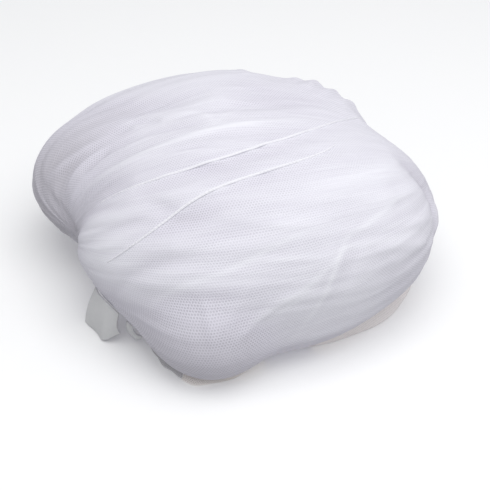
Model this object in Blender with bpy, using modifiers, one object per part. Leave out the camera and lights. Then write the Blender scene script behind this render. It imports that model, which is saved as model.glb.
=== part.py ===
"""Mosquito net canopy, packed: the whole net folded and rolled into one soft mound that lies on a surface.

Metres, +Z up, the surface is z = 0 and the origin is under the middle of the object. The long way of the bundle runs
along X, its rear roll lies at +Y and its front mound at -Y. The bundle is one solid of its wound form. The thin
layers that show under its overhang are strips of cloth that hang from below the overhang down to the surface.
"""

from collections import namedtuple
from math import radians

import bmesh
import bpy
import numpy as np
from mathutils import Matrix

# Driving dimensions.
HEART = np.array((0.0055, 0.0024, 0.065))  # the point that the bundle's surface is measured from
LOBE_BLEND = 0.008  # how softly two lobes run into each other
FARTHEST = 0.24  # no part of the bundle is farther from the heart than this
BUNDLE_RINGS = 44  # rings of faces from the left end to the right end
BUNDLE_SECTORS = 88  # faces round one ring
SHEET_THICKNESS = 0.0015
SHEET_CLEARANCE = 0.0025  # from the bundle to a strip under it
STRIP_STEP = 2.0  # degrees of heading between two columns of a strip
STRIP_ROWS = 9
LAST_DROP = 0.9  # how far down its height a strip has come at its last row but one
STRIP_FOOT = 0.0003  # a strip's lower edge is this far above the surface

# Each lobe is an ellipsoid: its middle from the heart's foot on the surface, its half sizes along, across and up,
# and how far it is turned, in degrees, anticlockwise from above.
Lobe = namedtuple("Lobe", "name x y z along across up turn")
LOBES = (
    Lobe("front mound", 0.003, -0.030, 0.062, 0.123, 0.096, 0.074, 0),
    Lobe("rear roll", -0.052, 0.056, 0.060, 0.112, 0.076, 0.063, 14),
    Lobe("rear top", -0.002, 0.041, 0.070, 0.102, 0.093, 0.069, -6),
    Lobe("rear right", 0.052, 0.054, 0.066, 0.060, 0.060, 0.059, 0),
    Lobe("right end", 0.074, -0.014, 0.062, 0.076, 0.076, 0.060, -34),
    Lobe("front foot", -0.022, -0.089, 0.034, 0.046, 0.056, 0.042, 14),
    Lobe("right foot", 0.044, -0.060, 0.036, 0.066, 0.046, 0.042, 24),
)

# Each crease runs over the surface from its start through its middle to its end. A place is a heading round the
# heart, 0 at +X and 90 at +Y, and a rise above level, in degrees.
Crease = namedtuple("Crease", "name start middle end half_width depth")
CREASES = (
    Crease("notch", (-165, -24), (-163, 6), (-146, 30), 0.015, 0.006),
    Crease("long seam", (-163, 9), (-101, 54), (22, 26), 0.013, 0.0035),
    Crease("cross seam", (-137, 5), (-100, 36), (5, 22), 0.012, 0.003),
    Crease("front valley", (-130, -4), (-118, 10), (-98, 15), 0.012, 0.0045),
    Crease("front fold", (-98, 14), (-70, 17), (-38, 20), 0.013, 0.0025),
    Crease("foot fold", (-122, -6), (-106, 1), (-88, 4), 0.012, 0.003),
    Crease("right tuck", (-6, 24), (-8, 8), (-22, -14), 0.012, 0.006),
    Crease("right foot tuck", (-66, 6), (-60, -8), (-57, -24), 0.012, 0.0035),
    Crease("top hollow", (110, 66), (56, 56), (30, 30), 0.018, 0.004),
    Crease("roll groove", (150, 2), (150, 34), (120, 62), 0.014, 0.004),
    Crease("bulb groove", (174, 20), (-178, 6), (-168, -8), 0.010, 0.0035),
    Crease("back groove", (126, -20), (104, 12), (60, 26), 0.016, 0.006),
    Crease("back right groove", (64, -16), (40, 8), (16, 18), 0.014, 0.005),
)

# Each strip of cloth under the overhang, column by column: the heading, how high its top edge stands, and how far
# its lower edge lies from the heart's foot.
Column = namedtuple("Column", "heading top spread")
STRIPS = {
    "loose_end": (
        Column(-151, 0.030, 0.130),
        Column(-145, 0.034, 0.131),
        Column(-139, 0.034, 0.1305),
        Column(-134.5, 0.028, 0.120),
    ),
    "loose_corner": (
        Column(-132.6, 0.022, 0.112),
        Column(-131, 0.024, 0.1165),
        Column(-129, 0.022, 0.110),
    ),
    "under_fold_left": (
        Column(-124, 0.008, 0.110),
        Column(-116, 0.020, 0.121),
        Column(-109, 0.014, 0.1285),
    ),
    "under_fold_front": (
        Column(-107, 0.005, 0.1285),
        Column(-103, 0.007, 0.1325),
        Column(-98, 0.008, 0.125),
        Column(-90, 0.008, 0.114),
        Column(-80, 0.006, 0.106),
    ),
    "under_fold_right": (
        Column(-60, 0.006, 0.106),
        Column(-47, 0.012, 0.117),
        Column(-39, 0.014, 0.1232),
        Column(-24, 0.016, 0.1328),
        Column(-8, 0.016, 0.1388),
    ),
}

Finish = namedtuple("Finish", "colour roughness metallic")
NETTING = Finish((0.80, 0.80, 0.87), 0.85, 0.0)
BAND_CLOTH = Finish((0.52, 0.52, 0.56), 0.80, 0.0)


def clear_scene():
    for obj in list(bpy.data.objects):
        bpy.data.objects.remove(obj)


def collection(name):
    made = bpy.data.collections.new(name)
    bpy.context.scene.collection.children.link(made)
    return made


def material(name, finish):
    made = bpy.data.materials.new(name)
    made.use_nodes = True
    shader = made.node_tree.nodes["Principled BSDF"]
    shader.inputs["Base Color"].default_value = (*finish.colour, 1)
    shader.inputs["Roughness"].default_value = finish.roughness
    shader.inputs["Metallic"].default_value = finish.metallic
    return made


def lobe_distance(points, lobe):
    """About how far each point is outside one lobe, negative inside it."""
    centre = np.array((lobe.x + HEART[0], lobe.y + HEART[1], lobe.z))
    turned = (points - centre) @ np.array(Matrix.Rotation(radians(lobe.turn), 3, "Z"))
    stretched = np.linalg.norm(turned / (lobe.along, lobe.across, lobe.up), axis=-1)
    return (stretched - 1) * min(lobe.along, lobe.across, lobe.up)


def outside(points):
    """About how far each point is outside the lobes run together, negative inside them."""
    shares = sum(np.exp(-lobe_distance(points, lobe) / LOBE_BLEND) for lobe in LOBES)
    return -LOBE_BLEND * np.log(shares + 1e-300)


def surface_reach(start, directions):
    """How far the bundle's surface is from the start, along each direction: a march inwards, then halving."""
    steps = np.linspace(FARTHEST, 0, 97)
    far = np.full(len(directions), steps[0])
    near = np.zeros(len(directions))
    searching = np.ones(len(directions), bool)
    for step_far, step_near in zip(steps[:-1], steps[1:]):
        found = searching & (outside(start + directions * step_near) < 0)
        far[found] = step_far
        near[found] = step_near
        searching &= ~found
    for _ in range(24):
        middle = (far + near) / 2
        inside = outside(start + directions * middle[:, None]) < 0
        near = np.where(inside, middle, near)
        far = np.where(inside, far, middle)
    return near


def direction(place):
    heading, rise = np.radians(place)
    return np.array((np.cos(rise) * np.cos(heading), np.cos(rise) * np.sin(heading), np.sin(rise)))


def crease_line(crease, count=25):
    """Directions along the crease: one smooth bend through its start, middle and end."""
    start, middle, end = (direction(place) for place in (crease.start, crease.middle, crease.end))
    control = 2 * middle - (start + end) / 2
    t = np.linspace(0, 1, count)[:, None]
    line = (1 - t) ** 2 * start + 2 * t * (1 - t) * control + t**2 * end
    return line / np.linalg.norm(line, axis=1)[:, None]


def crease_depth(points, crease):
    """How far the crease sinks each point: deepest along its line, and fading out at both ends."""
    directions = crease_line(crease)
    line = HEART + directions * surface_reach(HEART, directions)[:, None]
    gaps = np.linalg.norm(points[:, None] - line[None], axis=2)
    nearest = gaps.argmin(axis=1)
    fade = np.sin(np.pi * (nearest + 0.5) / len(line)) ** 0.6
    return crease.depth * fade * np.exp(-((gaps.min(axis=1) / crease.half_width) ** 2))


def bundle_points(directions):
    """The creased surface along each direction from the heart, flat where it meets the surface below."""
    reach = surface_reach(HEART, directions)
    points = HEART + directions * reach[:, None]
    reach = reach - sum(crease_depth(points, crease) for crease in CREASES)
    down = np.minimum(directions[:, 2], -1e-6)
    reach = np.where(directions[:, 2] < 0, np.minimum(reach, -HEART[2] / down), reach)
    points = HEART + directions * reach[:, None]
    points[:, 2] = np.maximum(points[:, 2], 0)
    return points


def add_object(name, mesh, finish, group):
    mesh.materials.append(finish)
    mesh.shade_smooth()
    obj = bpy.data.objects.new(name, mesh)
    group.objects.link(obj)
    return obj


def net_bundle(finish, group):
    """A ball with its poles at the two ends of the bundle, each point moved out to the bundle's surface."""
    shape = bmesh.new()
    bmesh.ops.create_uvsphere(shape, u_segments=BUNDLE_SECTORS, v_segments=BUNDLE_RINGS, radius=1)
    bmesh.ops.rotate(shape, verts=shape.verts, matrix=Matrix.Rotation(radians(90), 3, "Y"))
    directions = np.array([vert.co.normalized() for vert in shape.verts])
    for vert, point in zip(shape.verts, bundle_points(directions)):
        vert.co = point
    mesh = bpy.data.meshes.new("net_bundle")
    shape.to_mesh(mesh)
    shape.free()
    return add_object("net_bundle", mesh, finish, group)


def level_reach(outwards, heights):
    """How far out the bundle's surface is, each way at its own height, from above the middle of its foot."""
    starts = np.column_stack((np.full((len(outwards), 2), HEART[:2]), heights))
    return surface_reach(starts, outwards)


def eased(values, known, wanted):
    """The known values with soft steps between them."""
    place = np.interp(wanted, known, range(len(known)))
    whole = np.minimum(place.astype(int), len(known) - 2)
    part = place - whole
    values = np.array(values)
    return values[whole] + (values[whole + 1] - values[whole]) * part**2 * (3 - 2 * part)


def strip_rows(columns):
    """Rows of points from the strip's top edge under the overhang down to its lower edge on the surface.

    The last row lies straight below the one before it, so that the sheet's thickness doesn't sink.
    """
    first, last = columns[0].heading, columns[-1].heading
    headings = np.linspace(first, last, round((last - first) / STRIP_STEP) + 1)
    known = [column.heading for column in columns]
    tops = eased([column.top for column in columns], known, headings)
    spreads = eased([column.spread for column in columns], known, headings)
    angles = np.radians(headings)
    outwards = np.column_stack((np.cos(angles), np.sin(angles), np.zeros(len(angles))))
    top_reach = level_reach(outwards, tops) + SHEET_CLEARANCE
    rows = []
    for fall in np.linspace(0, 1, STRIP_ROWS - 1):
        heights = tops * (1 - LAST_DROP * fall)
        hanging = top_reach * (1 - fall) + spreads * fall
        reach = np.maximum(level_reach(outwards, heights) + SHEET_CLEARANCE, hanging)
        rows.append(HEART * (1, 1, 0) + outwards * reach[:, None] + np.outer(heights, (0, 0, 1)))
    rows.append(rows[-1] * (1, 1, 0) + (0, 0, STRIP_FOOT))
    return np.array(rows)


def cloth_strip(name, columns, finish, group):
    """One thin strip of cloth: an open sheet that gets its thickness outwards."""
    rows = strip_rows(columns)
    shape = bmesh.new()
    verts = [[shape.verts.new(point) for point in row] for row in rows]
    for upper, lower in zip(verts[:-1], verts[1:]):
        for k in range(len(upper) - 1):
            shape.faces.new((upper[k], lower[k], lower[k + 1], upper[k + 1]))
    mesh = bpy.data.meshes.new(name)
    shape.to_mesh(mesh)
    shape.free()
    obj = add_object(name, mesh, finish, group)
    wall = obj.modifiers.new("Thickness", "SOLIDIFY")
    wall.thickness = SHEET_THICKNESS
    wall.offset = 1
    return obj


def main():
    clear_scene()
    group = collection("mosquito_net_canopy")
    netting = material("netting", NETTING)
    band_cloth = material("band_cloth", BAND_CLOTH)
    net_bundle(netting, group)
    for name, columns in STRIPS.items():
        finish = band_cloth if name.startswith("loose") else netting
        cloth_strip(name, columns, finish, group)


main()
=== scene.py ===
"""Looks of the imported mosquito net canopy: its folded layers, sheer outer wrap, seams and loose ends."""

from collections import namedtuple
from math import cos, pi, radians, sin, sqrt

import bmesh
import bpy
import numpy as np
from bpy.props import FloatProperty, FloatVectorProperty, IntProperty, PointerProperty
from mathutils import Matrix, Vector


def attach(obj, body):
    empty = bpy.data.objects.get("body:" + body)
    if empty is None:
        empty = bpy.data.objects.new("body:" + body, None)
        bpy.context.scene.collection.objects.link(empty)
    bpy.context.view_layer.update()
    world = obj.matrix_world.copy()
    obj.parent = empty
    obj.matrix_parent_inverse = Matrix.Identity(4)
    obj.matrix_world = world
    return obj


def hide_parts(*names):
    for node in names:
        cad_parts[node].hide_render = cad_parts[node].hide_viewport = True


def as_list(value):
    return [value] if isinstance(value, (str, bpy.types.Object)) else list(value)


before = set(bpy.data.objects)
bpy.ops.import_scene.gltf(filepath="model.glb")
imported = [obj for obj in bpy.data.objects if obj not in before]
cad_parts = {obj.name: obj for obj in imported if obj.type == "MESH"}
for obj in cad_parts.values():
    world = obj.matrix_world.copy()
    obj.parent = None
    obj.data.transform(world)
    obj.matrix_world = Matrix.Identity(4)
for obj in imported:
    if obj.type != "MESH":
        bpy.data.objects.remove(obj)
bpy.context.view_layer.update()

bl_info = {
    "name": "Packed Mosquito Net",
    "version": (1, 0, 0),
    "blender": (4, 5, 0),
    "location": "3D View > Sidebar > Packed Net",
    "description": "Builds a mosquito net canopy that is folded and rolled into a soft bundle",
    "category": "Object",
}

# ---------------------------------------------------------------------------
# The bundle's form: the lobes of its solid, and creases that follow the solid's
# ---------------------------------------------------------------------------

HEART = np.array((0.0055, 0.0024, 0.065))  # the point that the bundle's surface is measured from
LOBE_BLEND = 0.008  # how softly two lobes run into each other
FARTHEST = 0.24  # no part of the bundle is farther from the heart than this
SHEET_CLEARANCE = 0.0025  # from the bundle to a strip that hangs under its overhang

# Each lobe is an ellipsoid: its middle from the heart's foot, its half sizes, and its turn in degrees.
Lobe = namedtuple("Lobe", "name x y z along across up turn")
LOBES = (
    Lobe("front mound", 0.003, -0.030, 0.062, 0.123, 0.096, 0.074, 0),
    Lobe("rear roll", -0.052, 0.056, 0.060, 0.112, 0.076, 0.063, 14),
    Lobe("rear top", -0.002, 0.041, 0.070, 0.102, 0.093, 0.069, -6),
    Lobe("rear right", 0.052, 0.054, 0.066, 0.060, 0.060, 0.059, 0),
    Lobe("right end", 0.074, -0.014, 0.062, 0.076, 0.076, 0.060, -34),
    Lobe("front foot", -0.022, -0.089, 0.034, 0.046, 0.056, 0.042, 14),
    Lobe("right foot", 0.044, -0.060, 0.036, 0.066, 0.046, 0.042, 24),
)

# Each fold runs over the surface through its places. A place is a heading round the heart and a rise above
# level, in degrees. A hollow has a negative height.
Fold = namedtuple("Fold", "name places half_width height")

# The creases that the solid has too. The front ones are shallower here, as the cloth is fuller there.
MAIN_CREASES = (
    Fold("notch", ((-165, -24), (-163, 6), (-146, 30)), 0.015, -0.006),
    Fold("long seam", ((-163, 9), (-101, 54), (22, 26)), 0.013, -0.0035),
    Fold("cross seam", ((-137, 5), (-100, 36), (5, 22)), 0.012, -0.003),
    Fold("front valley", ((-130, -4), (-118, 10), (-98, 15)), 0.012, -0.0007),
    Fold("foot fold", ((-122, -6), (-106, 1), (-88, 4)), 0.012, -0.0008),
    Fold("right tuck", ((-6, 24), (-8, 8), (-22, -14)), 0.012, -0.006),
    Fold("right foot tuck", ((-66, 6), (-60, -8), (-57, -24)), 0.012, -0.0006),
    Fold("top hollow", ((110, 66), (56, 56), (30, 30)), 0.018, -0.004),
    Fold("roll groove", ((150, 2), (150, 34), (120, 62)), 0.014, -0.004),
    Fold("bulb groove", ((174, 20), (-178, 6), (-168, -8)), 0.010, -0.0035),
    Fold("back groove", ((126, -20), (104, 12), (60, 26)), 0.016, -0.006),
    Fold("back right groove", ((64, -16), (40, 8), (16, 18)), 0.014, -0.005),
)

# The finer folds, which the solid doesn't have.
UPPER_LINE = ((-174, 4), (-165, 32), (-156, 62), (-25, 82), (17, 46))
LONG_SEAM = ((-155, 17), (-118, 51), (-42, 63), (24, 26))
CROSS_SEAM = ((-135, 6), (-117, 28), (-98, 42), (-55, 48), (-14, 41))
FINE_FOLDS = (
    Fold("upper fold", UPPER_LINE, 0.0035, 0.0012),
    Fold("upper fold hollow", ((-171, 3), (-150, 46), (-8, 66)), 0.006, -0.0010),
    Fold("long seam lip", LONG_SEAM, 0.0030, 0.0008),
    Fold("long seam hollow", ((-153, 14), (-116, 46), (-42, 57), (20, 24)), 0.0060, -0.0009),
    Fold("cross seam lip", CROSS_SEAM, 0.0030, 0.0008),
    Fold("cross seam hollow", ((-132, 5), (-95, 39), (-20, 39)), 0.0050, -0.0006),
    Fold("hollow left of the long seam", ((-159, 19), (-149, 28), (-134, 40)), 0.0050, -0.0018),
    Fold("first fan", ((-159, 10), (-139, 25), (-125, 33), (-98, 46)), 0.0050, 0.0017),
    Fold("first fan hollow", ((-161, 7), (-147, 19), (-130, 30)), 0.0040, -0.0018),
    Fold("second fan", ((-157, 6), (-141, 18), (-122, 27)), 0.0050, 0.0015),
    Fold("third fan", ((-150, 4), (-137, 16), (-126, 24)), 0.0040, -0.0018),
    Fold("fourth fan", ((-144, 5), (-133, 14), (-119, 25)), 0.0045, 0.0012),
    Fold("short hollow", ((-138, 27), (-127, 29), (-115, 29)), 0.0060, -0.0016),
    Fold("middle band", ((-138, 3), (-119, 15), (-87, 22), (-52, 20), (-20, 18)), 0.0080, 0.0016),
    Fold("hollow above the band", ((-113, 19), (-94, 23), (-73, 28)), 0.0090, -0.0024),
    Fold("second hollow above the band", ((-121, 22), (-109, 27), (-96, 32)), 0.0060, -0.0018),
    Fold("front valley floor", ((-136, -14), (-126, 4), (-114, 12), (-100, 16)), 0.0050, -0.0014),
    Fold("front ridge", ((-136, -20), (-120, 4), (-108, 10), (-94, 11), (-70, 9)), 0.0100, 0.0020),
    Fold("hollow under the diagonal", ((-96, 13), (-81, 17), (-66, 19)), 0.0040, -0.0007),
    Fold("upright hollow", ((-44, 18), (-54, 8), (-66, -10)), 0.0070, -0.0012),
    Fold("low fold right", ((-93, -9), (-82, -1), (-64, 8)), 0.0040, 0.0012),
    Fold("tip ridge left", ((-106, 8), (-98, -1), (-97, -12)), 0.0045, 0.0006),
    Fold("tip hollow", ((-104, 7), (-101, 0), (-98, -12)), 0.0040, -0.0004),
    Fold("tip ridge right", ((-83, 10), (-91, 2), (-95, -7)), 0.0050, 0.0005),
    Fold("first dash", ((164, 34), (164, 41), (166, 49)), 0.0030, -0.0024),
    Fold("second dash", ((170, 27), (169, 32), (167, 37)), 0.0030, -0.0022),
    Fold("third dash", ((-180, 42), (-180, 58), (-172, 72)), 0.0045, -0.0016),
    Fold("fourth dash", ((-177, 14), (-179, 22), (174, 29)), 0.0035, -0.0018),
    Fold("first bulb ridge", ((176, 4), (175, 16), (170, 29)), 0.0040, 0.0018),
    Fold("second bulb ridge", ((-176, 4), (180, 17), (176, 30)), 0.0040, 0.0018),
    Fold("third bulb ridge", ((172, 6), (166, 21), (157, 35)), 0.0050, 0.0018),
    Fold("first bulb hollow", ((178, 4), (177, 16), (173, 28)), 0.0035, -0.0016),
    Fold("second bulb hollow", ((173, 6), (171, 18), (163, 32)), 0.0035, -0.0016),
    Fold("bulb end fold", ((-168, -6), (-176, 0), (172, 6)), 0.0040, -0.0020),
    Fold("top ridge", ((172, 44), (156, 64), (-162, 78)), 0.0045, 0.0012),
    Fold("top hollow floor", ((155, 48), (89, 74), (32, 36)), 0.0060, -0.0020),
    Fold("right fan high", ((-42, 25), (-27, 20), (-7, 10)), 0.0050, 0.0014),
    Fold("right fan middle", ((-44, 15), (-30, 12), (-14, 5)), 0.0040, 0.0012),
    Fold("right fan low", ((-44, 10), (-31, 6), (-16, -3)), 0.0050, 0.0014),
    Fold("right hollow", ((-63, 23), (-47, 21), (-34, 19)), 0.0050, -0.0014),
    Fold("right end hollow", ((-17, 22), (-25, 18), (-32, 9)), 0.0070, -0.0009),
    Fold("right low hollow", ((-47, 11), (-42, 2), (-36, -9)), 0.0090, -0.0008),
    Fold("right top fold", ((-62, 37), (-34, 31), (-5, 20)), 0.0060, 0.0014),
    Fold("right top hollow", ((-37, 40), (-19, 33), (-2, 25)), 0.0050, -0.0014),
    Fold("side bump", ((-4, 7), (-9, 1), (-14, -5)), 0.0050, 0.0042),
)

# The folds of the outer wrap alone, which stand off the layers under it.
WRAP_FOLDS = (
    Fold("first pleat", ((88, 24), (87, 33), (84, 43)), 0.0050, 0.0014),
    Fold("second pleat", ((62, 20), (61, 30), (59, 40)), 0.0050, 0.0028),
    Fold("third pleat", ((55, 19), (53, 30), (49, 41)), 0.0060, 0.0046),
    Fold("fourth pleat", ((47, 18), (44, 29), (40, 39)), 0.0050, 0.0034),
    Fold("fifth pleat", ((38, 16), (36, 26), (32, 36)), 0.0050, 0.0030),
)

# Edges of inner layers: below its line the net is thinner, and shows the dots of its mesh. Here the height
# is the share of the layers that ends there.
LAYER_EDGES = (
    Fold("front layer", ((-131, -24), (-112, 1), (-98, 7), (-82, 8), (-62, 6)), 0.0030, -0.30),
    Fold("right layer", ((-79, 6), (-63, 9), (-52, 12), (-30, 3)), 0.0030, -0.06),
    Fold("middle layer", ((-150, 10), (-100, 32), (-20, 30)), 0.0025, -0.14),
    Fold("upper layer", ((-170, 22), (170, 60), (40, 70)), 0.0030, -0.14),
)

# Thin doubled edges that cross the folds, where the net is whiter. The height is again a share of the layers.
LAYER_LINES = (
    Fold("long seam line", LONG_SEAM, 0.0022, 0.45),
    Fold("cross seam line", CROSS_SEAM, 0.0022, 0.40),
    Fold("upper line", UPPER_LINE, 0.0030, 0.50),
    Fold("diagonal line", ((-120, -8), (-106, 8), (-91, 14), (-72, 21), (-43, 17)), 0.0022, 0.42),
    Fold("level line", ((-94, 15), (-77, 16), (-51, 11)), 0.0020, 0.20),
    Fold("upright line", ((-74, -16), (-62, 3), (-56, 12), (-45, 20)), 0.0020, 0.50),
    Fold("right line", ((-54, 16), (-38, 18), (-20, 18)), 0.0022, 0.45),
    Fold("lower line", ((-94, -11), (-82, -1), (-70, 5), (-57, 12), (-42, 15)), 0.0020, 0.42),
    Fold("low line", ((-86, -5), (-75, 0), (-63, 8)), 0.0022, 0.40),
    Fold("right low line", ((-62, 15), (-38, 11), (-12, 3)), 0.0020, 0.20),
    Fold("right high line", ((-60, 37), (-34, 31), (-5, 20)), 0.0020, 0.20),
    Fold("top line", ((172, 44), (156, 64), (-162, 78)), 0.0024, 0.22),
    Fold("second top line", ((-140, 70), (100, 80), (40, 50)), 0.0024, 0.16),
    Fold("bulb line", ((176, 2), (175, 16), (168, 32)), 0.0024, 0.20),
    Fold("second bulb line", ((-175, 2), (180, 17), (174, 34)), 0.0024, 0.20),
)

# Painted shade and painted light: places where the netting is painted greyer for a long way round, or whiter.
PAINTED_SHADING_PLACES = (
    Fold("left end", ((-172, -30), (174, 4), (164, 40)), 0.038, -1.35),
    Fold("front foot", ((-140, -30), (-104, -18), (-50, -30)), 0.045, -0.44),
    Fold("right end", ((-40, -14), (-12, 4), (20, 22)), 0.030, -0.15),
    Fold("front tip", ((-108, -2), (-92, -6), (-78, -8)), 0.018, -0.28),
    Fold("right foot", ((-87, -8), (-64, -7), (-34, -6)), 0.025, 0.62),
    Fold("left shoulder", ((-154, 4), (-138, 9), (-120, 12)), 0.025, 0.32),
)


def lobe_distance(points, lobe):
    """About how far each point is outside one lobe, negative inside it."""
    offset = points - (lobe.x + HEART[0], lobe.y + HEART[1], lobe.z)
    turn = radians(lobe.turn)
    along = offset[..., 0] * cos(turn) + offset[..., 1] * sin(turn)
    across = offset[..., 1] * cos(turn) - offset[..., 0] * sin(turn)
    up = offset[..., 2]
    stretched = np.sqrt((along / lobe.along) ** 2 + (across / lobe.across) ** 2 + (up / lobe.up) ** 2)
    return (stretched - 1) * min(lobe.along, lobe.across, lobe.up)


def outside(points):
    """About how far each point is outside the lobes run together, negative inside them."""
    shares = sum(np.exp(-lobe_distance(points, lobe) / LOBE_BLEND) for lobe in LOBES)
    return -LOBE_BLEND * np.log(shares + 1e-300)


def surface_reach(start, directions):
    """How far the bundle's surface is from the start, along each direction: a march inwards, then halving."""
    steps = np.linspace(FARTHEST, 0, 61)
    far = np.full(len(directions), steps[0])
    near = np.zeros(len(directions))
    searching = np.ones(len(directions), bool)
    for step_far, step_near in zip(steps[:-1], steps[1:]):
        found = searching.copy()
        found[searching] = outside((start + directions * step_near)[searching]) < 0
        far[found] = step_far
        near[found] = step_near
        searching &= ~found
    for _ in range(18):
        middle = (far + near) / 2
        inside = outside(start + directions * middle[:, None]) < 0
        near = np.where(inside, middle, near)
        far = np.where(inside, far, middle)
    return near


def direction(place):
    """The direction of a place, which is a heading and a rise in degrees."""
    heading, rise = np.radians(place)
    return np.array((np.cos(rise) * np.cos(heading), np.cos(rise) * np.sin(heading), np.sin(rise)))


def fold_line(places, count=25):
    """Directions along a fold: the smoothest curve through its places."""
    degree = len(places) - 1
    known = [direction(place) for place in places]
    bend = np.polyfit(np.linspace(0, 1, degree + 1), known, degree)
    line = np.vander(np.linspace(0, 1, count), degree + 1) @ bend
    return line / np.linalg.norm(line, axis=1)[:, None]


def fold_profile(points, fold, below=0.0):
    """From 0 to 1 over the points: 1 along the fold's line, falling off sideways and fading out at both ends.
    With a width for below, it falls off that slowly on the right of the way the line runs."""
    directions = fold_line(fold.places)
    line = HEART + directions * surface_reach(HEART, directions)[:, None]
    widest = 3 * max(fold.half_width, below)
    low, high = line.min(axis=0) - widest, line.max(axis=0) + widest
    close = np.flatnonzero(((points > low) & (points < high)).all(axis=1))
    gap = np.full(len(close), np.inf)
    place = np.zeros(len(close))
    side = np.zeros(len(close))
    for k, (a, b) in enumerate(zip(line[:-1], line[1:])):
        share = np.clip((points[close] - a) @ (b - a) / ((b - a) @ (b - a)), 0, 1)
        offset = points[close] - a - share[:, None] * (b - a)
        distance = np.linalg.norm(offset, axis=1)
        nearer = distance < gap
        gap[nearer] = distance[nearer]
        place[nearer] = (k + share[nearer]) / (len(line) - 1)
        side[nearer] = offset[nearer] @ np.cross(b - a, directions[k])
    width = np.where(side > 0, below or fold.half_width, fold.half_width)
    profile = np.zeros(len(points))
    profile[close] = np.sin(pi * place) * np.exp(-((gap / width) ** 2))
    return profile


# ---------------------------------------------------------------------------
# The run of the folds: they leave the notch at the left, spread, and meet again at the right end
# ---------------------------------------------------------------------------

FOLD_AXIS = direction((8, 6))  # points at where the folds meet at the right end
AXIS_UP = np.cross(np.cross(FOLD_AXIS, (0, 0, 1)), FOLD_AXIS)
AXIS_UP /= np.linalg.norm(AXIS_UP)
AXIS_SIDE = np.cross(FOLD_AXIS, AXIS_UP)

# Wrinkles that run with the folds: cells round the axis and along it, and how high they stand.
Wrinkle = namedtuple("Wrinkle", "name round_cells along_cells height seed")
WRINKLES = (
    Wrinkle("broad", 14, 3, 0.0010, 11),
    Wrinkle("middle", 36, 4, 0.0013, 23),
    Wrinkle("narrow", 80, 5, 0.0009, 37),
    Wrinkle("fine", 170, 7, 0.0004, 41),
)
DRAWN_SHARE = 0.9  # how much higher the wrinkles stand at the notch, where the net is drawn together
DRAWN_ANGLE = radians(48)  # how far from the notch that is felt
WANDER = 0.10  # how far the wrinkles wander round the axis, in radians

# How the count of layers follows the form of the net. The count also carries painted light and shade: ridges
# and wrinkle tops are painted lighter, hollows and the low net darker.
RISE_OF_A_LAYER_AND_SHADE = 0.010  # the count grows by one where a fold stands this high: partly more layers, partly painted light on ridges and painted shade in hollows
WRINKLE_LAYERS_AND_SHADE = 110  # and by this much for each metre of a wrinkle, which paints its top lighter and its hollow darker
LOW_NET = 0.07  # below this height the net is painted darker, down to the foot: painted shade
LOW_PAINTED_SHADE = 0.95  # by how much at the foot
RIGHT_LESS_PAINTED_SHADE = 0.45  # and by how much less there on the right
EDGE_FADE = 9  # how many times wider a layer's edge falls off on its lower side


def run_direction(along, around):
    """The direction at an angle along from the notch and one around the axis, which starts underneath."""
    ring = np.cos(around)[..., None] * -AXIS_UP + np.sin(around)[..., None] * AXIS_SIDE
    return np.cos(along)[..., None] * -FOLD_AXIS + np.sin(along)[..., None] * ring


def run_angles(directions):
    """The angle along from the notch, and the angle around the axis, of each direction."""
    along = np.arccos(np.clip(directions @ -FOLD_AXIS, -1, 1))
    around = np.arctan2(directions @ AXIS_SIDE, directions @ -AXIS_UP) % (2 * pi)
    return along, around


def soft_noise(around, along, wrinkle):
    """Smooth noise from -1 to 1, its cells long ones that run with the folds."""
    size = (wrinkle.round_cells, wrinkle.along_cells + 2)
    heights = np.random.default_rng(wrinkle.seed).uniform(-1, 1, size)
    x = around / (2 * pi) * wrinkle.round_cells
    y = along / pi * wrinkle.along_cells
    column, row = np.floor(x).astype(int), np.floor(y).astype(int)
    ease_x, ease_y = (part**2 * (3 - 2 * part) for part in (x - column, y - row))
    after = (column + 1) % wrinkle.round_cells
    column = column % wrinkle.round_cells
    first = heights[column, row] * (1 - ease_x) + heights[after, row] * ease_x
    second = heights[column, row + 1] * (1 - ease_x) + heights[after, row + 1] * ease_x
    return first * (1 - ease_y) + second * ease_y


def wrinkle_height(directions, strength):
    """The wrinkles' height: they stand higher towards the notch, where the net is drawn together."""
    along, around = run_angles(directions)
    drawn = 1 + DRAWN_SHARE * np.exp(-((along / DRAWN_ANGLE) ** 2))
    swayed = (around + WANDER * np.sin(2.2 * along + 1.3 * around)) % (2 * pi)
    total = sum(wrinkle.height * soft_noise(swayed, along, wrinkle) for wrinkle in WRINKLES)
    return strength * total * drawn * np.sin(along) ** 0.8


def net_reach(directions, strength, folds=()):
    """How far out the wrinkled net lies along each direction from the heart, not yet flattened underneath."""
    reach = surface_reach(HEART, directions)
    points = HEART + directions * reach[:, None]
    for fold in (*MAIN_CREASES, *FINE_FOLDS, *folds):
        reach = reach + fold.height * fold_profile(points, fold)
    return reach + wrinkle_height(directions, strength)


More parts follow.
